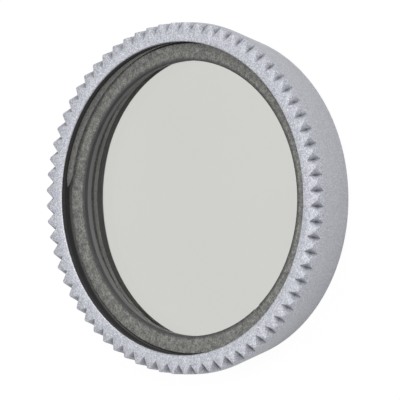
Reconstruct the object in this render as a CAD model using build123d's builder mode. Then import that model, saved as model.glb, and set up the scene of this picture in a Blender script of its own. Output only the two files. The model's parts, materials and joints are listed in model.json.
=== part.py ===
from build123d import *
from math import radians, tan
import os

# Screw-in lens filter: a notched aluminium frame, a round glass and the ring that holds it in.
# Millimetres. The filter lies on the end of its mounting thread with its front face up: +Z is the
# optical axis towards the subject, and the origin is the centre of the thread's end.

# Mounting thread at the rear, which sets every other diameter through the walls and clearances below
mount_thread_diameter = 27.0
mount_thread_length = 0.6
mount_thread_chamfer = 0.15
mount_thread_wall = 0.45

# Frame, outside
body_depth = 5.5
grip_wall = 1.65
grip_land = 1.4
grip_taper = 1.08
rear_edge_radius = 0.15

# Notches cut across the front corner by a V-shaped cutter held at 45 degrees
notch_count = 69
notch_depth = 0.6
notch_angle = 90

# Frame, inside
rear_bore_chamfer = 0.12
seat_lip = 0.78
seat_width = 0.53
seat_rib = 1.16
front_bore_ledge = 0.5
front_edge_break = 0.08

# Glass
glass_thickness = 1.75
glass_edge_bevel = 0.12
glass_clearance = 0.05

# Retaining ring
ring_face_depth = 1.2
ring_thickness = 0.88
ring_overlap = 1.06
ring_bore_radius = 0.06
ring_edge_break = 0.12
ring_clearance = 0.05
ring_clamp_gap = 0.1
slot_width = 0.6
slot_depth = 0.15
slot_angle = 216.9

# Levels along the axis, from the thread's end up to the front face
shoulder_z = mount_thread_length
front_z = shoulder_z + body_depth
ring_face_z = front_z - ring_face_depth
glass_front_z = ring_face_z - ring_thickness
seat_z = glass_front_z - glass_thickness
front_bore_floor_z = glass_front_z - ring_clamp_gap

# Radii, from the mounting thread through the seat and the glass to the grip
mount_thread_r = mount_thread_diameter / 2
rear_bore_r = mount_thread_r - mount_thread_wall
seat_r = rear_bore_r - seat_lip
glass_r = seat_r + seat_width
pocket_r = glass_r + glass_clearance
front_bore_r = pocket_r + front_bore_ledge
grip_r = front_bore_r + grip_wall
rear_r = grip_r - grip_taper
ring_r = front_bore_r - ring_clearance
ring_bore_r = glass_r - ring_overlap

# One notch: a prism of V section that runs down and outwards across the front corner
cutter_overlap = notch_depth
cutter_reach = 2 * notch_depth
cutter_half_width = (notch_depth + cutter_overlap) * tan(radians(notch_angle / 2))
corner_plane = Plane(origin=(grip_r, 0, front_z), x_dir=(0, 1, 0), z_dir=(1, 0, -1))
with BuildPart() as notch_cutter:
    with BuildSketch(corner_plane):
        with BuildLine():
            Polyline(
                (0, -notch_depth),
                (cutter_half_width, cutter_overlap),
                (-cutter_half_width, cutter_overlap),
                close=True,
            )
        make_face()
    extrude(amount=cutter_reach, both=True)

# Frame: one turned section, then the notches
with BuildPart() as frame:
    with BuildSketch(Plane.XZ):
        with BuildLine():
            Polyline(
                (rear_bore_r + rear_bore_chamfer, 0),
                (mount_thread_r - mount_thread_chamfer, 0),
                (mount_thread_r, mount_thread_chamfer),
                (mount_thread_r, shoulder_z),
                (rear_r, shoulder_z),
                (grip_r, front_z - grip_land),
                (grip_r, front_z),
                (front_bore_r + front_edge_break, front_z),
                (front_bore_r, front_z - front_edge_break),
                (front_bore_r, front_bore_floor_z),
                (pocket_r, front_bore_floor_z),
                (pocket_r, seat_z),
                (seat_r, seat_z),
                (seat_r, seat_z - seat_rib),
                (rear_bore_r, seat_z - seat_rib),
                (rear_bore_r, rear_bore_chamfer),
                close=True,
            )
        make_face()
    revolve(axis=Axis.Z)
    shoulder_edges = frame.edges().filter_by_position(Axis.Z, shoulder_z, shoulder_z)
    fillet(shoulder_edges.sort_by(SortBy.RADIUS)[-1], radius=rear_edge_radius)
    with PolarLocations(0, notch_count):
        add(notch_cutter.part, mode=Mode.SUBTRACT)
frame.part.label = "frame"

# Glass: a flat disc with ground edges
with BuildPart() as glass:
    with BuildSketch(Plane.XY.offset(seat_z)):
        Circle(glass_r)
    extrude(amount=glass_thickness)
    chamfer(glass.edges(), length=glass_edge_bevel)
glass.part.label = "glass"

# Retaining ring: its inner edge just broken, with one slot across its face to turn it by
with BuildPart() as retaining_ring:
    with BuildSketch(Plane.XZ):
        with BuildLine():
            Polyline(
                (ring_bore_r, glass_front_z),
                (ring_r, glass_front_z),
                (ring_r, ring_face_z - ring_edge_break),
                (ring_r - ring_edge_break, ring_face_z),
                (ring_bore_r, ring_face_z),
                close=True,
            )
        make_face()
    revolve(axis=Axis.Z)
    ring_face_edges = retaining_ring.edges().filter_by_position(Axis.Z, ring_face_z, ring_face_z)
    fillet(ring_face_edges.sort_by(SortBy.RADIUS)[0], radius=ring_bore_radius)
    with BuildSketch(Plane.XY.offset(ring_face_z)):
        with PolarLocations((ring_bore_r + ring_r) / 2, 1, start_angle=slot_angle):
            Rectangle(ring_r - ring_bore_r + slot_width, slot_width)
    extrude(amount=-slot_depth, mode=Mode.SUBTRACT)
retaining_ring.part.label = "retaining_ring"

os.makedirs("parts", exist_ok=True)
export_step(frame.part, "parts/frame.step")
export_step(glass.part, "parts/glass.step")
export_step(retaining_ring.part, "parts/retaining_ring.step")
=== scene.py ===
import json
from math import asin, cos, pi, radians, sin, sqrt

import bmesh
import bpy
from mathutils import Matrix, Vector


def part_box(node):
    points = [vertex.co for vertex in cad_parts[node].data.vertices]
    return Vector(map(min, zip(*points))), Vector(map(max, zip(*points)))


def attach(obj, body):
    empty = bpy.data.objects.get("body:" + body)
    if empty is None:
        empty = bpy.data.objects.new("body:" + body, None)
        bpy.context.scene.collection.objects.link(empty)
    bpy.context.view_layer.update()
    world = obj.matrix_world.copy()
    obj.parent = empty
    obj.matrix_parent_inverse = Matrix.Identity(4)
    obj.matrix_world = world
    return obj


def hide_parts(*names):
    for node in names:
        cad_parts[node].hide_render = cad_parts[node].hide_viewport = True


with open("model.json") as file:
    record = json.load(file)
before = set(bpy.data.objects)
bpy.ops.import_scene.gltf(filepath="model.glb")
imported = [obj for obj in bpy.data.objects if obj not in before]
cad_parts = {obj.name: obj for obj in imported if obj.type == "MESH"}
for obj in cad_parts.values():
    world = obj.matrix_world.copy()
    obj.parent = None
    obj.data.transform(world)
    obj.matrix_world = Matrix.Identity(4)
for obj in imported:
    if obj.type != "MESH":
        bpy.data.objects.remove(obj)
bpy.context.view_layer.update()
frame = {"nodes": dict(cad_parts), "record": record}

# Screw-in lens filter: the finish of its silver frame, blackened inside, glass and retaining ring.
# Metres, in the solids' own frame: +Z out of the front face, the filter lying on its rear thread.

MM = 0.001
scene = bpy.context.scene
nodes = frame["nodes"]
mounts = {m["name"]: m for m in frame["record"]["mounts"]}

# Sizes read from the solids
front_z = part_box("frame")[1].z
grip_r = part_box("frame")[1].x
shoulder_z = mounts["lens_shoulder"]["pos_m"][2]
mount_thread_r = mounts["lens_thread"]["dims"]["r_mm"] * MM
ring_face_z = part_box("retaining_ring")[1].z
glass_front_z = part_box("glass")[1].z
seat_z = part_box("glass")[0].z
glass_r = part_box("glass")[1].x
ring_r = (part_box("retaining_ring")[1].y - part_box("retaining_ring")[0].y) / 2

# Sizes of the frame's section that no box gives
notch_count = 69
notch_depth = 0.6 * MM
notch_reach = notch_depth * sqrt(2)
grip_land = 1.4 * MM
rear_r = grip_r - 1.08 * MM
rear_edge_radius = 0.15 * MM
front_bore_r = ring_r + 0.05 * MM
front_edge_break = 0.08 * MM
front_bore_floor_z = glass_front_z - 0.1 * MM
pocket_r = glass_r + 0.05 * MM
seat_r = glass_r - 0.53 * MM
seat_gap = 0.012 * MM  # keeps the seat out of the glass's plane, where both would render black
rib_rear_z = seat_z - 1.16 * MM
rear_bore_r = mount_thread_r - 0.45 * MM
rear_bore_chamfer = 0.12 * MM
edge_rounding = 0.05 * MM

# Marks on the notches' flanks, which the finish reads: painted shade at the bottom and painted
# highlights at the tips
groove_bottom = 1.0
groove_end = 0.55
groove_tip = -0.4

# Retaining ring
ring_bore_r = glass_r - 1.06 * MM
slot_width = 0.6 * MM
slot_angle = radians(216.9)

# Threads
mount_thread_pitch = 0.5 * MM
mount_thread_depth = 0.3 * MM
mount_thread_chamfer = 0.15 * MM
front_thread_pitch = 0.9 * MM
front_thread_depth = 0.45 * MM
sunk_in = 0.02 * MM  # how far the ridges start inside the wall

# Grain of the bead-blasted finishes
silver_grain = 0.11 * MM
black_grain = 0.13 * MM


def new_object(name, mesh):
    made = bpy.data.objects.new(name, mesh)
    scene.collection.objects.link(made)
    return made


def apply_modifiers(piece):
    """Turns the piece into a plain mesh, with what its modifiers make."""
    graph = bpy.context.evaluated_depsgraph_get()
    made = bpy.data.meshes.new_from_object(piece.evaluated_get(graph))
    piece.modifiers.clear()
    piece.data = made


def face_outward(piece):
    mesh = bmesh.new()
    mesh.from_mesh(piece.data)
    bmesh.ops.recalc_face_normals(mesh, faces=mesh.faces)
    mesh.to_mesh(piece.data)
    mesh.free()


def shade_smooth(piece, sharp_angle):
    for face in piece.data.polygons:
        face.use_smooth = True
    piece.data.set_sharp_from_angle(angle=sharp_angle)


class Tree:
    """A node tree under construction: add() makes a node, join() links two sockets."""

    def __init__(self, tree):
        self.tree = tree

    def add(self, kind, **settings):
        node = self.tree.nodes.new(kind)
        for name, value in settings.items():
            setattr(node, name, value)
        return node

    def join(self, source, target):
        self.tree.links.new(source, target)


# Materials

def new_material(name):
    material = bpy.data.materials.new(name)
    material.use_nodes = True
    tree = Tree(material.node_tree)
    shader = material.node_tree.nodes["Principled BSDF"]
    return material, tree, shader


def bead_blast_group():
    """Fine pits left by glass beads: a height for bump, flecks, wider blotches and painted bright
    glints.
    """
    group = bpy.data.node_groups.new("bead_blast", "ShaderNodeTree")
    face = group.interface
    face.new_socket("Grain Size", in_out="INPUT", socket_type="NodeSocketFloat").default_value = 0.1 * MM
    face.new_socket("Height", in_out="OUTPUT", socket_type="NodeSocketFloat")
    face.new_socket("Fleck", in_out="OUTPUT", socket_type="NodeSocketFloat")
    face.new_socket("Blotch", in_out="OUTPUT", socket_type="NodeSocketFloat")
    face.new_socket("Glint", in_out="OUTPUT", socket_type="NodeSocketFloat")
    tree = Tree(group)
    inputs = tree.add("NodeGroupInput")
    outputs = tree.add("NodeGroupOutput")
    place = tree.add("ShaderNodeTexCoord")
    scale = tree.add("ShaderNodeMath", operation="DIVIDE")
    scale.inputs[0].default_value = 1.0
    tree.join(inputs.outputs["Grain Size"], scale.inputs[1])
    pits = tree.add("ShaderNodeTexVoronoi", feature="SMOOTH_F1")
    pits.inputs["Smoothness"].default_value = 0.6
    grain = tree.add("ShaderNodeTexNoise")
    grain.inputs["Detail"].default_value = 2.0
    patch = tree.add("ShaderNodeTexNoise")
    patch_scale = tree.add("ShaderNodeMath", operation="MULTIPLY")
    patch_scale.inputs[1].default_value = 0.36
    cells = tree.add("ShaderNodeTexVoronoi", feature="F1")
    tree.join(scale.outputs[0], pits.inputs["Scale"])
    tree.join(scale.outputs[0], grain.inputs["Scale"])
    tree.join(scale.outputs[0], cells.inputs["Scale"])
    tree.join(scale.outputs[0], patch_scale.inputs[0])
    tree.join(patch_scale.outputs[0], patch.inputs["Scale"])
    for texture in (pits, grain, patch, cells):
        tree.join(place.outputs["Object"], texture.inputs["Vector"])
    fleck = tree.add("ShaderNodeMapRange", interpolation_type="SMOOTHSTEP")
    blotch = tree.add("ShaderNodeMapRange", interpolation_type="SMOOTHSTEP")
    for spread, source in ((fleck, grain), (blotch, patch)):
        spread.inputs["From Min"].default_value = 0.3
        spread.inputs["From Max"].default_value = 0.7
        tree.join(source.outputs["Fac"], spread.inputs["Value"])

    # Painted glints: one cell in ten is painted bright, round its middle
    draw = tree.add("ShaderNodeSeparateColor")
    tree.join(cells.outputs["Color"], draw.inputs[0])
    chosen = tree.add("ShaderNodeMath", operation="GREATER_THAN")
    chosen.inputs[1].default_value = 0.9
    tree.join(draw.outputs[0], chosen.inputs[0])
    close = tree.add("ShaderNodeMath", operation="LESS_THAN")
    close.inputs[1].default_value = 0.4
    tree.join(cells.outputs["Distance"], close.inputs[0])
    glint = tree.add("ShaderNodeMath", operation="MULTIPLY")
    tree.join(chosen.outputs[0], glint.inputs[0])
    tree.join(close.outputs[0], glint.inputs[1])
    height = tree.add("ShaderNodeMath", operation="ADD")
    tree.join(pits.outputs["Distance"], height.inputs[0])
    tree.join(grain.outputs["Fac"], height.inputs[1])
    tree.join(height.outputs[0], outputs.inputs["Height"])
    tree.join(fleck.outputs[0], outputs.inputs["Fleck"])
    tree.join(blotch.outputs[0], outputs.inputs["Blotch"])
    tree.join(glint.outputs[0], outputs.inputs["Glint"])
    return group


bead_blast = bead_blast_group()


def add_bead_blast(tree, grain_size):
    node = tree.add("ShaderNodeGroup", node_tree=bead_blast)
    node.inputs["Grain Size"].default_value = grain_size
    return node


def mix_colours(tree, factor, first, second):
    """A colour between two set ones."""
    node = tree.add("ShaderNodeMix", data_type="RGBA")
    node.inputs["A"].default_value = (*first, 1)
    node.inputs["B"].default_value = (*second, 1)
    tree.join(factor, node.inputs["Factor"])
    return node.outputs["Result"]


def turned_place_group():
    """Where a point lies on a turned part: its distance from the axis and its height along it."""
    group = bpy.data.node_groups.new("turned_place", "ShaderNodeTree")
    face = group.interface
    face.new_socket("Radius", in_out="OUTPUT", socket_type="NodeSocketFloat")
    face.new_socket("Height", in_out="OUTPUT", socket_type="NodeSocketFloat")
    tree = Tree(group)
    outputs = tree.add("NodeGroupOutput")
    place = tree.add("ShaderNodeTexCoord")
    split = tree.add("ShaderNodeSeparateXYZ")
    flat = tree.add("ShaderNodeVectorMath", operation="MULTIPLY")
    flat.inputs[1].default_value = (1, 1, 0)
    radius = tree.add("ShaderNodeVectorMath", operation="LENGTH")
    tree.join(place.outputs["Object"], split.inputs[0])
    tree.join(place.outputs["Object"], flat.inputs[0])
    tree.join(flat.outputs[0], radius.inputs[0])
    tree.join(radius.outputs["Value"], outputs.inputs["Radius"])
    tree.join(split.outputs["Z"], outputs.inputs["Height"])
    return group


turned_place = turned_place_group()


def compare(tree, operation, value, limit):
    node = tree.add("ShaderNodeMath", operation=operation)
    tree.join(value, node.inputs[0])
    node.inputs[1].default_value = limit
    return node.outputs[0]


def both(tree, one, other):
    node = tree.add("ShaderNodeMath", operation="MULTIPLY")
    tree.join(one, node.inputs[0])
    tree.join(other, node.inputs[1])
    return node.outputs[0]


def blend(tree, mask, first, second):
    """The first colour, and the second one where the mask is 1."""
    node = tree.add("ShaderNodeMix", data_type="RGBA")
    tree.join(mask, node.inputs["Factor"])
    tree.join(first, node.inputs["A"])
    tree.join(second, node.inputs["B"])
    return node.outputs["Result"]


def combine(tree, blend_type, first, second):
    """Two colours multiplied or added in full."""
    node = tree.add("ShaderNodeMix", data_type="RGBA", blend_type=blend_type)
    node.inputs["Factor"].default_value = 1.0
    tree.join(first, node.inputs["A"])
    tree.join(second, node.inputs["B"])
    return node.outputs["Result"]


def height_bands(tree, height, bands):
    """Colours in bands along the axis, each from its lower height up to the next one's."""
    share = tree.add("ShaderNodeMath", operation="DIVIDE")
    tree.join(height, share.inputs[0])
    share.inputs[1].default_value = front_z
    ramp = tree.add("ShaderNodeValToRGB")
    stops = ramp.color_ramp
    stops.interpolation = "CONSTANT"
    while len(stops.elements) < len(bands):
        stops.elements.new(1.0)
    for stop, (lower, colour) in zip(stops.elements, bands):
        stop.position = lower / front_z
        stop.color = (*colour, 1)
    tree.join(share.outputs[0], ramp.inputs["Fac"])
    return ramp.outputs["Color"]


def add_bump(tree, shader, blast, strength, distance):
    bump = tree.add("ShaderNodeBump")
    bump.inputs["Strength"].default_value = strength
    bump.inputs["Distance"].default_value = distance
    tree.join(blast.outputs["Height"], bump.inputs["Height"])
    tree.join(bump.outputs[0], shader.inputs["Normal"])


def frame_finish():
    """Silver anodise outside and at the rear, with painted glints, and painted shade and highlights in
    the notches; blackened inside, in bands along the bore that paint light and shade.
    """
    paint_edge = 0.004 * MM
    edge_margin = 0.02 * MM
    material, tree, shader = new_material("silver_and_black_anodise")
    blast = add_bead_blast(tree, silver_grain)
    place = tree.add("ShaderNodeGroup", node_tree=turned_place)
    wall = mix_colours(tree, blast.outputs["Fleck"], (0.47, 0.48, 0.52), (0.69, 0.70, 0.735))
    front = mix_colours(tree, blast.outputs["Fleck"], (0.44, 0.45, 0.51), (0.74, 0.75, 0.8))
    # Painted glints: one grain in ten on the front is brightened
    glint = mix_colours(tree, blast.outputs["Glint"], (0.0, 0.0, 0.0), (0.3, 0.3, 0.3))
    sparkling = combine(tree, "ADD", front, glint)
    at_front = compare(tree, "GREATER_THAN", place.outputs["Height"], front_z - notch_reach)
    bare = blend(tree, at_front, wall, sparkling)

    # Painted shade in the notches and painted highlights on the tips between them
    groove = tree.add("ShaderNodeAttribute", attribute_name="groove")
    sunk = tree.add("ShaderNodeMapRange")
    tree.join(groove.outputs["Fac"], sunk.inputs["Value"])
    depth = tree.add("ShaderNodeMath", operation="POWER")
    depth.inputs[1].default_value = 1.8
    tree.join(sunk.outputs[0], depth.inputs[0])
    tip_highlight_share = tree.add("ShaderNodeMapRange")
    tip_highlight_share.inputs["From Min"].default_value = 0.1
    tip_highlight_share.inputs["From Max"].default_value = groove_tip
    tree.join(groove.outputs["Fac"], tip_highlight_share.inputs["Value"])
    edges = mix_colours(tree, tip_highlight_share.outputs[0], (1.0, 1.0, 1.0), (1.3, 1.3, 1.3))
    painted_groove_shade = mix_colours(tree, depth.outputs[0], (1.0, 1.0, 1.0), (0.18, 0.18, 0.187))
    painted_notch_light = combine(tree, "MULTIPLY", painted_groove_shade, edges)
    silver = combine(tree, "MULTIPLY", bare, painted_notch_light)
    grains = mix_colours(tree, blast.outputs["Fleck"], (0.6, 0.6, 0.6), (1.0, 1.0, 1.0))

    # The bands are painted light and shade: the pale top of the rib and the pale seat stand for light
    # through the glass, the paler foot of the front bore for bounced light, and the dark band above it
    # for shade
    # Lower height and colour of each band, from the rib's rear up to the mouth of the bore
    bands = height_bands(
        tree,
        place.outputs["Height"],
        (
            (0.0, (0.2, 0.2, 0.2)),
            (seat_z - 0.48 * MM, (0.8, 0.8, 0.8)),
            (seat_z - edge_margin, (0.4, 0.4, 0.4)),
            (seat_z + edge_margin, (0.25, 0.25, 0.245)),
            (front_z - 1.25 * MM, (0.13, 0.13, 0.128)),
            (front_z - 1.08 * MM, (0.032, 0.032, 0.034)),
            (front_z - 0.5 * MM, (0.066, 0.063, 0.061)),
        ),
    )
    black = combine(tree, "MULTIPLY", bands, grains)
    in_bore = compare(tree, "LESS_THAN", place.outputs["Radius"], front_bore_r + paint_edge)
    above_rear = compare(tree, "GREATER_THAN", place.outputs["Height"], rib_rear_z + edge_margin)
    inside = both(tree, in_bore, above_rear)
    colour = blend(tree, inside, silver, black)
    tree.join(colour, shader.inputs["Base Color"])
    metal = tree.add("ShaderNodeMapRange")
    metal.inputs["To Min"].default_value = 0.85
    metal.inputs["To Max"].default_value = 0.0
    tree.join(inside, metal.inputs["Value"])
    tree.join(metal.outputs[0], shader.inputs["Metallic"])
    rough = tree.add("ShaderNodeMapRange")
    rough.inputs["To Min"].default_value = 0.52
    rough.inputs["To Max"].default_value = 0.6
    tree.join(blast.outputs["Fleck"], rough.inputs["Value"])
    tree.join(rough.outputs[0], shader.inputs["Roughness"])
    add_bump(tree, shader, blast, strength=0.35, distance=0.03 * MM)
    return material


def ring_finish():
    """Matte black anodise with pale grains: darker at both edges and in the bore as painted shade, with
    painted highlights along the slot.
    """
    inner_margin = 0.12 * MM
    margin_fade = 0.28 * MM
    rim_width = 0.07 * MM
    highlight_width = 0.08 * MM
    material, tree, shader = new_material("matte_black_anodise")
    blast = add_bead_blast(tree, black_grain)
    place = tree.add("ShaderNodeGroup", node_tree=turned_place)
    grains = mix_colours(tree, blast.outputs["Fleck"], (0.13, 0.13, 0.12), (0.29, 0.29, 0.272))
    patches = mix_colours(tree, blast.outputs["Blotch"], (0.74, 0.74, 0.77), (1.2, 1.2, 1.18))
    grey = combine(tree, "MULTIPLY", grains, patches)

    # Painted shade: the face darkens towards the bore, and the rounding at its outer edge is painted
    # black
    past_margin = tree.add("ShaderNodeMapRange", interpolation_type="SMOOTHSTEP")
    past_margin.inputs["From Min"].default_value = ring_bore_r + inner_margin
    past_margin.inputs["From Max"].default_value = ring_bore_r + inner_margin + margin_fade
    tree.join(place.outputs["Radius"], past_margin.inputs["Value"])
    margin_shade = mix_colours(tree, past_margin.outputs[0], (0.46, 0.46, 0.48), (1.0, 1.0, 1.0))
    face = combine(tree, "MULTIPLY", grey, margin_shade)
    # Painted light and shade in the bore: paler low down, where light comes through the glass, and
    # darker under the face
    bore = height_bands(
        tree,
        place.outputs["Height"],
        (
            (0.0, (0.2, 0.2, 0.2)),
            (ring_face_z - 0.42 * MM, (0.07, 0.07, 0.07)),
        ),
    )
    in_bore = compare(tree, "LESS_THAN", place.outputs["Radius"], ring_bore_r + inner_margin)
    at_rim = compare(tree, "GREATER_THAN", place.outputs["Radius"], ring_r - rim_width)
    rim_shade = tree.add("ShaderNodeRGB")
    rim_shade.outputs[0].default_value = (0.045, 0.045, 0.048, 1)
    flat = blend(tree, at_rim, face, rim_shade.outputs[0])
    turned = blend(tree, in_bore, flat, bore)

    # Painted highlight: the slot's edges are painted paler, where they catch the light
    where = tree.add("ShaderNodeTexCoord")
    along_slot = tree.add("ShaderNodeVectorRotate", rotation_type="Z_AXIS")
    along_slot.inputs["Angle"].default_value = -slot_angle
    tree.join(where.outputs["Object"], along_slot.inputs["Vector"])
    split = tree.add("ShaderNodeSeparateXYZ")
    tree.join(along_slot.outputs[0], split.inputs[0])
    across = tree.add("ShaderNodeMath", operation="ABSOLUTE")
    tree.join(split.outputs["Y"], across.inputs[0])
    near_edge = tree.add("ShaderNodeMath", operation="COMPARE")
    tree.join(across.outputs[0], near_edge.inputs[0])
    near_edge.inputs[1].default_value = slot_width / 2
    near_edge.inputs[2].default_value = highlight_width
    slot_side = compare(tree, "GREATER_THAN", split.outputs["X"], 0.0)
    slot_highlight = both(tree, near_edge.outputs[0], slot_side)
    pale = mix_colours(tree, blast.outputs["Fleck"], (0.16, 0.16, 0.15), (0.28, 0.28, 0.265))
    colour = blend(tree, slot_highlight, turned, pale)
    tree.join(colour, shader.inputs["Base Color"])
    shader.inputs["Roughness"].default_value = 0.62
    add_bump(tree, shader, blast, strength=0.5, distance=0.04 * MM)
    return material


def thread_finish():
    """Matte black anodise on the front thread's ridge."""
    material, tree, shader = new_material("thread_black_anodise")
    blast = add_bead_blast(tree, black_grain)
    colour = mix_colours(tree, blast.outputs["Fleck"], (0.1, 0.1, 0.096), (0.22, 0.22, 0.21))
    tree.join(colour, shader.inputs["Base Color"])
    shader.inputs["Roughness"].default_value = 0.62
    add_bump(tree, shader, blast, strength=0.5, distance=0.04 * MM)
    return material


def glass_finish():
    """Polished grey filter glass, a little uneven in tint."""
    material, tree, shader = new_material("grey_filter_glass")
    place = tree.add("ShaderNodeTexCoord")
    drift = tree.add("ShaderNodeTexNoise")
    drift.inputs["Scale"].default_value = 90.0
    tree.join(place.outputs["Object"], drift.inputs["Vector"])
    colour = mix_colours(tree, drift.outputs["Fac"], (0.645, 0.65, 0.618), (0.68, 0.685, 0.652))
    tree.join(colour, shader.inputs["Base Color"])
    shader.inputs["Roughness"].default_value = 0.0
    shader.inputs["IOR"].default_value = 1.52
    shader.inputs["Transmission Weight"].default_value = 1.0
    return material


silver_and_black = frame_finish()
matte_black = ring_finish()
thread_black = thread_finish()
filter_glass = glass_finish()


# Frame: one notch wide, then repeated round the axis

def frame_section():
    """Corners of the turned section (radius, height), from the wall below a notch round to the face."""
    taper_slope = (grip_r - rear_r) / (front_z - grip_land - shoulder_z)
    rear_edge_z = shoulder_z + rear_edge_radius
    thread_root_r = mount_thread_r - mount_thread_depth
    arc = [radians(a) for a in (0, 30, 60, 90)]
    rear_edge = [
        (
            rear_r + taper_slope * rear_edge_radius - rear_edge_radius * (1 - cos(a)),
            rear_edge_z - rear_edge_radius * sin(a),
        )
        for a in arc
    ]
    return [
        (grip_r, front_z - grip_land),
        *rear_edge,
        (thread_root_r, shoulder_z),
        (thread_root_r, mount_thread_chamfer),
        (thread_root_r - 0.5 * mount_thread_chamfer, 0),
        (rear_bore_r + rear_bore_chamfer, 0),
        (rear_bore_r, rear_bore_chamfer),
        (rear_bore_r, rib_rear_z),
        (seat_r, rib_rear_z),
        (seat_r, seat_z - seat_gap),
        (pocket_r, seat_z - seat_gap),
        (pocket_r, front_bore_floor_z),
        (front_bore_r, front_bore_floor_z),
        (front_bore_r, front_z - front_edge_break),
        (front_bore_r + front_edge_break, front_z),
    ]


def frame_sector():
    """The frame between the bottoms of two V notches, with one tooth in the middle."""
    half_pitch = pi / notch_count
    half_tip = half_pitch - asin(notch_depth / grip_r)
    columns = (-half_pitch, -half_tip, half_tip, half_pitch)
    mesh = bmesh.new()

    def vertex(angle, radius, height):
        return mesh.verts.new((radius * cos(angle), radius * sin(angle), height))

    rings = [[vertex(a, *corner) for a in columns] for corner in frame_section()]
    for upper, lower in zip(rings, rings[1:]):
        for i in range(3):
            mesh.faces.new((upper[i], upper[i + 1], lower[i + 1], lower[i]))
    wall, face = rings[0], rings[-1]
    tips = [vertex(a, grip_r, front_z) for a in columns[1:3]]
    on_wall = [vertex(a, grip_r, front_z - notch_reach) for a in (columns[0], columns[3])]
    on_face = [vertex(a, grip_r - notch_reach, front_z) for a in (columns[0], columns[3])]
    mesh.faces.new((wall[0], on_wall[0], tips[0], wall[1]))
    mesh.faces.new((wall[1], tips[0], tips[1], wall[2]))
    mesh.faces.new((wall[2], tips[1], on_wall[1], wall[3]))
    half_reach = notch_reach / 2
    bottoms = [vertex(a, grip_r - half_reach, front_z - half_reach) for a in (columns[0], columns[3])]
    flanks = (
        mesh.faces.new((on_wall[0], bottoms[0], tips[0])),
        mesh.faces.new((bottoms[0], on_face[0], tips[0])),
        mesh.faces.new((tips[1], bottoms[1], on_wall[1])),
        mesh.faces.new((tips[1], on_face[1], bottoms[1])),
    )
    mesh.faces.new((face[0], face[1], tips[0], on_face[0]))
    mesh.faces.new((face[1], face[2], tips[1], tips[0]))
    mesh.faces.new((face[2], face[3], on_face[1], tips[1]))
    # Marks where the finish paints shade at the flanks' bottoms and highlights at their tips
    groove = mesh.loops.layers.float.new("groove")
    for flank in flanks:
        for loop in flank.loops:
            loop[groove] = groove_end
            if loop.vert in bottoms:
                loop[groove] = groove_bottom
            elif loop.vert in tips:
                loop[groove] = groove_tip
    bmesh.ops.rotate(mesh, verts=mesh.verts, matrix=Matrix.Rotation(half_pitch, 3, "Z"))
    made = bpy.data.meshes.new("frame_sector")
    mesh.to_mesh(made)
    mesh.free()
    return made


def repeat_round_axis_tree():
    """Copies a sector round the Z axis and welds the copies into one skin."""
    group = bpy.data.node_groups.new("repeat_round_axis", "GeometryNodeTree")
    face = group.interface
    face.new_socket("Geometry", in_out="INPUT", socket_type="NodeSocketGeometry")
    face.new_socket("Count", in_out="INPUT", socket_type="NodeSocketInt")
    face.new_socket("Weld", in_out="INPUT", socket_type="NodeSocketFloat")
    face.new_socket("Material", in_out="INPUT", socket_type="NodeSocketMaterial")
    face.new_socket("Geometry", in_out="OUTPUT", socket_type="NodeSocketGeometry")
    tree = Tree(group)
    inputs = tree.add("NodeGroupInput")
    outputs = tree.add("NodeGroupOutput")
    points = tree.add("GeometryNodePoints")
    index = tree.add("GeometryNodeInputIndex")
    step = tree.add("ShaderNodeMath", operation="DIVIDE")
    step.inputs[0].default_value = 2 * pi
    angle = tree.add("ShaderNodeMath", operation="MULTIPLY")
    turn = tree.add("ShaderNodeCombineXYZ")
    copies = tree.add("GeometryNodeInstanceOnPoints")
    real = tree.add("GeometryNodeRealizeInstances")
    weld = tree.add("GeometryNodeMergeByDistance")
    paint = tree.add("GeometryNodeSetMaterial")
    tree.join(inputs.outputs["Count"], points.inputs["Count"])
    tree.join(inputs.outputs["Count"], step.inputs[1])
    tree.join(index.outputs[0], angle.inputs[0])
    tree.join(step.outputs[0], angle.inputs[1])
    tree.join(angle.outputs[0], turn.inputs["Z"])
    tree.join(points.outputs[0], copies.inputs["Points"])
    tree.join(inputs.outputs["Geometry"], copies.inputs["Instance"])
    tree.join(turn.outputs[0], copies.inputs["Rotation"])
    tree.join(copies.outputs[0], real.inputs[0])
    tree.join(real.outputs[0], weld.inputs["Geometry"])
    tree.join(inputs.outputs["Weld"], weld.inputs["Distance"])
    tree.join(weld.outputs[0], paint.inputs["Geometry"])
    tree.join(inputs.outputs["Material"], paint.inputs["Material"])
    tree.join(paint.outputs[0], outputs.inputs[0])
    return group


def add_geometry_nodes(piece, group, **values):
    """Puts a tree on a piece, with its named inputs set."""
    modifier = piece.modifiers.new(group.name, "NODES")
    modifier.node_group = group
    sockets = {s.name: s.identifier for s in group.interface.items_tree if s.in_out == "INPUT"}
    for name, value in values.items():
        modifier[sockets[name.replace("_", " ")]] = value


def make_frame():
    piece = new_object("notched_frame", frame_sector())
    add_geometry_nodes(
        piece,
        repeat_round_axis_tree(),
        Count=notch_count,
        Weld=0.002 * MM,
        Material=silver_and_black,
    )
    rounding = piece.modifiers.new("edge_rounding", "BEVEL")
    rounding.width = edge_rounding
    rounding.segments = 3
    rounding.limit_method = "ANGLE"
    rounding.angle_limit = radians(35)
    apply_modifiers(piece)
    face_outward(piece)
    shade_smooth(piece, radians(40))
    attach(piece, "root")
    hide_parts("frame")


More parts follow.
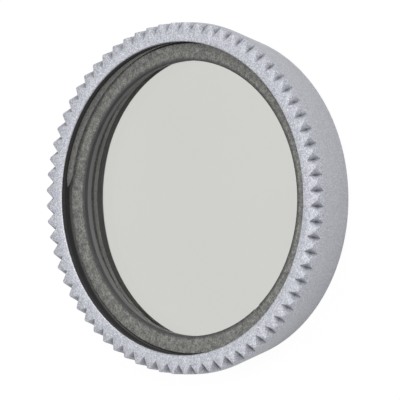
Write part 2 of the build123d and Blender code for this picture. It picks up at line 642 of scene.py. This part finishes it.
def helical_thread_tree():
    """A ridge wound round the Z axis, which runs out into the wall at both ends."""
    group = bpy.data.node_groups.new("helical_thread", "GeometryNodeTree")
    face = group.interface
    for name in (
        "Wall Radius", "Outward", "Depth", "Root Width", "Crest Width",
        "Pitch", "Turns", "Start Height", "Start Angle", "Run In", "Run Out",
    ):
        face.new_socket(name, in_out="INPUT", socket_type="NodeSocketFloat")
    face.new_socket("Material", in_out="INPUT", socket_type="NodeSocketMaterial")
    face.new_socket("Geometry", in_out="OUTPUT", socket_type="NodeSocketGeometry")
    tree = Tree(group)
    inputs = tree.add("NodeGroupInput")
    outputs = tree.add("NodeGroupOutput")

    # Path
    rise = tree.add("ShaderNodeMath", operation="MULTIPLY")
    tree.join(inputs.outputs["Pitch"], rise.inputs[0])
    tree.join(inputs.outputs["Turns"], rise.inputs[1])
    helix = tree.add("GeometryNodeCurveSpiral")
    helix.inputs["Resolution"].default_value = 160
    helix.inputs["Reverse"].default_value = True
    tree.join(inputs.outputs["Turns"], helix.inputs["Rotations"])
    tree.join(inputs.outputs["Wall Radius"], helix.inputs["Start Radius"])
    tree.join(inputs.outputs["Wall Radius"], helix.inputs["End Radius"])
    tree.join(rise.outputs[0], helix.inputs["Height"])
    upright = tree.add("GeometryNodeSetCurveNormal", mode="Z_UP")
    tree.join(helix.outputs[0], upright.inputs["Curve"])

    # Section: its foot stays on the path while it shrinks towards the ends
    ridge = tree.add("GeometryNodeCurvePrimitiveQuadrilateral", mode="TRAPEZOID")
    ridge.inputs["Offset"].default_value = 0.0
    tree.join(inputs.outputs["Root Width"], ridge.inputs["Bottom Width"])
    tree.join(inputs.outputs["Crest Width"], ridge.inputs["Top Width"])
    tree.join(inputs.outputs["Depth"], ridge.inputs["Height"])
    lean = tree.add("ShaderNodeMath", operation="MULTIPLY")
    lean.inputs[1].default_value = -pi / 2
    tree.join(inputs.outputs["Outward"], lean.inputs[0])
    lean_about = tree.add("ShaderNodeCombineXYZ")
    tree.join(lean.outputs[0], lean_about.inputs["Z"])
    half_depth = tree.add("ShaderNodeMath", operation="MULTIPLY")
    half_depth.inputs[1].default_value = 0.5
    tree.join(inputs.outputs["Depth"], half_depth.inputs[0])
    off_path = tree.add("ShaderNodeMath", operation="MULTIPLY")
    tree.join(half_depth.outputs[0], off_path.inputs[0])
    tree.join(inputs.outputs["Outward"], off_path.inputs[1])
    off_by = tree.add("ShaderNodeCombineXYZ")
    tree.join(off_path.outputs[0], off_by.inputs["X"])
    placed = tree.add("GeometryNodeTransform")
    tree.join(ridge.outputs[0], placed.inputs["Geometry"])
    tree.join(lean_about.outputs[0], placed.inputs["Rotation"])
    tree.join(off_by.outputs[0], placed.inputs["Translation"])

    # Size along the path
    along = tree.add("GeometryNodeSplineParameter")
    total = tree.add("GeometryNodeSplineLength")
    to_go = tree.add("ShaderNodeMath", operation="SUBTRACT")
    tree.join(total.outputs["Length"], to_go.inputs[0])
    tree.join(along.outputs["Length"], to_go.inputs[1])
    grown = tree.add("ShaderNodeMapRange", interpolation_type="SMOOTHSTEP")
    tree.join(along.outputs["Length"], grown.inputs["Value"])
    tree.join(inputs.outputs["Run In"], grown.inputs["From Max"])
    shrunk = tree.add("ShaderNodeMapRange", interpolation_type="SMOOTHSTEP")
    tree.join(to_go.outputs[0], shrunk.inputs["Value"])
    tree.join(inputs.outputs["Run Out"], shrunk.inputs["From Max"])
    size = tree.add("ShaderNodeMath", operation="MINIMUM")
    for stage, socket in ((grown, size.inputs[0]), (shrunk, size.inputs[1])):
        stage.inputs["To Min"].default_value = 0.02
        tree.join(stage.outputs[0], socket)

    solid = tree.add("GeometryNodeCurveToMesh")
    solid.inputs["Fill Caps"].default_value = True
    tree.join(upright.outputs[0], solid.inputs["Curve"])
    tree.join(placed.outputs[0], solid.inputs["Profile Curve"])
    tree.join(size.outputs[0], solid.inputs["Scale"])
    start_place = tree.add("ShaderNodeCombineXYZ")
    tree.join(inputs.outputs["Start Height"], start_place.inputs["Z"])
    start_turn = tree.add("ShaderNodeCombineXYZ")
    tree.join(inputs.outputs["Start Angle"], start_turn.inputs["Z"])
    in_place = tree.add("GeometryNodeTransform")
    tree.join(solid.outputs[0], in_place.inputs["Geometry"])
    tree.join(start_place.outputs[0], in_place.inputs["Translation"])
    tree.join(start_turn.outputs[0], in_place.inputs["Rotation"])
    real = tree.add("GeometryNodeRealizeInstances")
    paint = tree.add("GeometryNodeSetMaterial")
    tree.join(in_place.outputs[0], real.inputs[0])
    tree.join(real.outputs[0], paint.inputs["Geometry"])
    tree.join(inputs.outputs["Material"], paint.inputs["Material"])
    tree.join(paint.outputs[0], outputs.inputs[0])
    return group


def make_thread(name, group, slot, **sizes):
    piece = new_object(name, bpy.data.meshes.new(name))
    add_geometry_nodes(piece, group, **sizes)
    apply_modifiers(piece)
    face_outward(piece)
    shade_smooth(piece, radians(35))
    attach(piece, "root")


def make_threads():
    group = helical_thread_tree()
    front_turns = 0.24
    front_start_depth = 0.82 * MM
    front_start_angle = radians(84.95)
    make_thread(
        "front_thread",
        group,
        "silver_anodised",
        Wall_Radius=front_bore_r + sunk_in,
        Outward=-1.0,
        Depth=front_thread_depth + sunk_in,
        Root_Width=0.42 * MM,
        Crest_Width=0.1 * MM,
        Pitch=front_thread_pitch,
        Turns=front_turns,
        Start_Height=front_z - front_start_depth - front_turns * front_thread_pitch,
        Start_Angle=front_start_angle - 2 * pi * front_turns,
        Run_In=13.0 * MM,
        Run_Out=0.9 * MM,
        Material=thread_black,
    )
    make_thread(
        "mount_thread",
        group,
        "silver_anodised",
        Wall_Radius=mount_thread_r - mount_thread_depth - sunk_in,
        Outward=1.0,
        Depth=mount_thread_depth,
        Root_Width=0.46 * MM,
        Crest_Width=0.07 * MM,
        Pitch=mount_thread_pitch,
        Turns=0.65,
        Start_Height=0.24 * MM,
        Start_Angle=0.0,
        Run_In=2.0 * MM,
        Run_Out=2.0 * MM,
        Material=silver_and_black,
    )


def dress_solids():
    for name, finish in (("glass", filter_glass), ("retaining_ring", matte_black)):
        nodes[name].data.materials.clear()
        nodes[name].data.materials.append(finish)


# Stage: floor, light and camera

def make_floor():
    """White paper that stays white to the camera and still takes the filter's soft shadow."""
    half = 2.0
    mesh = bpy.data.meshes.new("floor")
    corners = [(-half, -half, 0), (half, -half, 0), (half, half, 0), (-half, half, 0)]
    mesh.from_pydata(corners, [], [(0, 1, 2, 3)])
    floor = new_object("floor", mesh)
    material, tree, shader = new_material("white_paper")
    shader.inputs["Base Color"].default_value = (0.7, 0.7, 0.7, 1)
    shader.inputs["Roughness"].default_value = 0.9
    shader.inputs["Specular IOR Level"].default_value = 0.0
    path = tree.add("ShaderNodeLightPath")
    direct = tree.add("ShaderNodeMapRange")
    direct.inputs["To Min"].default_value = 0.12
    direct.inputs["To Max"].default_value = 0.9
    tree.join(path.outputs["Is Camera Ray"], direct.inputs["Value"])
    share = tree.add("ShaderNodeMath", operation="MAXIMUM")
    tree.join(direct.outputs[0], share.inputs[0])
    tree.join(path.outputs["Is Transmission Ray"], share.inputs[1])
    glow = tree.add("ShaderNodeEmission")
    glow.inputs["Color"].default_value = (1, 1, 1, 1)
    white = tree.add("ShaderNodeMapRange")
    white.inputs["To Min"].default_value = 1.0
    white.inputs["To Max"].default_value = 1.06
    tree.join(path.outputs["Is Camera Ray"], white.inputs["Value"])
    tree.join(white.outputs[0], glow.inputs["Strength"])
    mix = tree.add("ShaderNodeMixShader")
    tree.join(share.outputs[0], mix.inputs["Fac"])
    tree.join(shader.outputs[0], mix.inputs[1])
    tree.join(glow.outputs[0], mix.inputs[2])
    tree.join(mix.outputs[0], material.node_tree.nodes["Material Output"].inputs["Surface"])
    mesh.materials.append(material)


def make_world():
    world = bpy.data.worlds.new("studio")
    world.use_nodes = True
    scene.world = world
    tree = Tree(world.node_tree)
    back = world.node_tree.nodes["Background"]
    back.inputs["Color"].default_value = (1, 1, 1, 1)
    path = tree.add("ShaderNodeLightPath")
    strength = tree.add("ShaderNodeMapRange")
    strength.inputs["To Min"].default_value = 0.4
    strength.inputs["To Max"].default_value = 1.0
    tree.join(path.outputs["Is Camera Ray"], strength.inputs["Value"])
    tree.join(strength.outputs[0], back.inputs["Strength"])


def make_soft_light(name, place, size, power):
    """A round area light that points at the middle of the front face."""
    light = bpy.data.lights.new(name, "AREA")
    light.shape = "DISK"
    light.size = size
    light.energy = power
    lamp = bpy.data.objects.new(name, light)
    lamp.location = place
    lamp.rotation_mode = "QUATERNION"
    lamp.rotation_quaternion = (Vector((0, 0, front_z)) - Vector(place)).to_track_quat("-Z", "Y")
    scene.collection.objects.link(lamp)


def make_camera():
    """Looks down past the axis, rolled so that the near side of the grip is at the picture's right."""
    view_tilt = radians(39.6)
    view_lean = radians(-0.329)
    view_turn = radians(-1.2)
    distance_mm = 1200
    picture_px = 400
    px_per_mm = 11.7465
    focal_px = px_per_mm * distance_mm
    off_right = 1.609 * MM
    off_down = 0.138 * MM
    turn = Matrix.Rotation(view_turn, 3, "Z")
    across = turn @ Vector((0, 1, 0))
    up = turn @ Vector((cos(view_lean), 0, sin(view_lean)))
    axis = turn @ Vector((-sin(view_lean), 0, cos(view_lean)))
    back = axis * cos(view_tilt) - across * sin(view_tilt)
    right = -across * cos(view_tilt) - axis * sin(view_tilt)
    data = bpy.data.cameras.new("camera")
    data.sensor_width = 36
    data.lens = data.sensor_width * focal_px / picture_px
    data.clip_start = 0.001
    camera = bpy.data.objects.new("camera", data)
    facing = Matrix((right, up, back)).transposed().to_4x4()
    place = Vector((0, 0, front_z)) + back * (distance_mm * MM) + right * off_right - up * off_down
    camera.matrix_world = Matrix.Translation(place) @ facing
    scene.collection.objects.link(camera)
    scene.camera = camera


make_frame()
make_threads()
dress_solids()
make_floor()
make_world()
make_soft_light("key", (0.075, -0.28, 0.33), size=0.14, power=0.6)
make_soft_light("edge", (0.36, -0.1, 0.24), size=0.1, power=0.45)
make_soft_light("fill", (0.0, 0.14, 0.45), size=0.2, power=0.44)
make_camera()

scene.view_settings.view_transform = "Standard"
